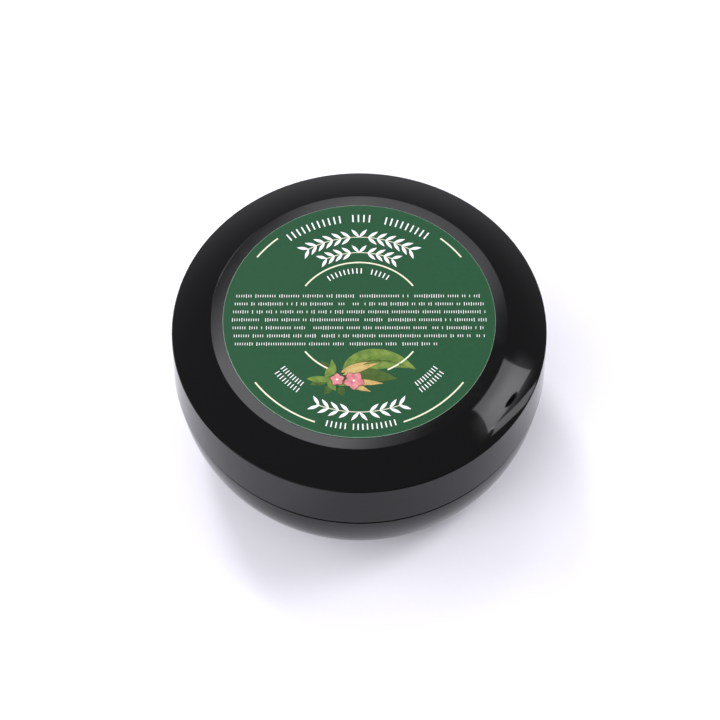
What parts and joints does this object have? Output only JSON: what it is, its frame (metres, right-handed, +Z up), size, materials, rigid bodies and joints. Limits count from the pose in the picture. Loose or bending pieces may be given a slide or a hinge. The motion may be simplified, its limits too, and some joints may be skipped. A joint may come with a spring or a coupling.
{
  "type": "shaving soap jar",
  "caption": "Low round gloss jar with a quick-thread screw lid, holding a puck of hard shaving soap under a thin lift-out disc.",
  "frame": {"origin": "centre of the foot, on the surface that the jar stands on", "axes": "+Z up along the screw axis of the lid; +X and +Y are level, and the lid label reads upright when seen from -Y"},
  "size_m": [0.0808, 0.0808, 0.038],
  "materials": {
    "gloss_black": "high-gloss moulded black polystyrene",
    "cup_black": "satin moulded black polypropylene",
    "liner_black": "satin moulded black polypropylene",
    "soap": null,
    "foam": null,
    "clear_film": "thin natural polypropylene, slightly cloudy",
    "lid_label": "printed satin film label, green with a cream print",
    "base_label": "printed white film label"
  },
  "bodies": {
    "base": {"base_shell": "gloss_black", "inner_cup": "cup_black", "soap_puck": "soap", "base_label": "base_label"},
    "disc": {"sealing_disc": "clear_film"},
    "wad": {"lid_wad": "foam"},
    "lid": {"lid_liner": "liner_black", "lid_shell": "gloss_black", "lid_label": "lid_label"}
  },
  "joints": [
    {"name": "disc_lift", "type": "slide", "parent": "base", "child": "disc", "axis": [0, 0, 1], "range_m": [0, 0.005]},
    {"name": "lid_rise", "type": "slide", "parent": "base", "child": "wad", "axis": [0, 0, 1], "range_m": [0, 0.016]},
    {"name": "lid_turn", "type": "hinge", "parent": "wad", "child": "lid", "pos_m": [0, 0, 0], "axis": [0, 0, 1], "range_deg": [0, 720]}
  ],
  "couplings": [
    {"joint": "lid_rise", "follows": "lid_turn", "m_per_rad": 0.0012732}
  ]
}
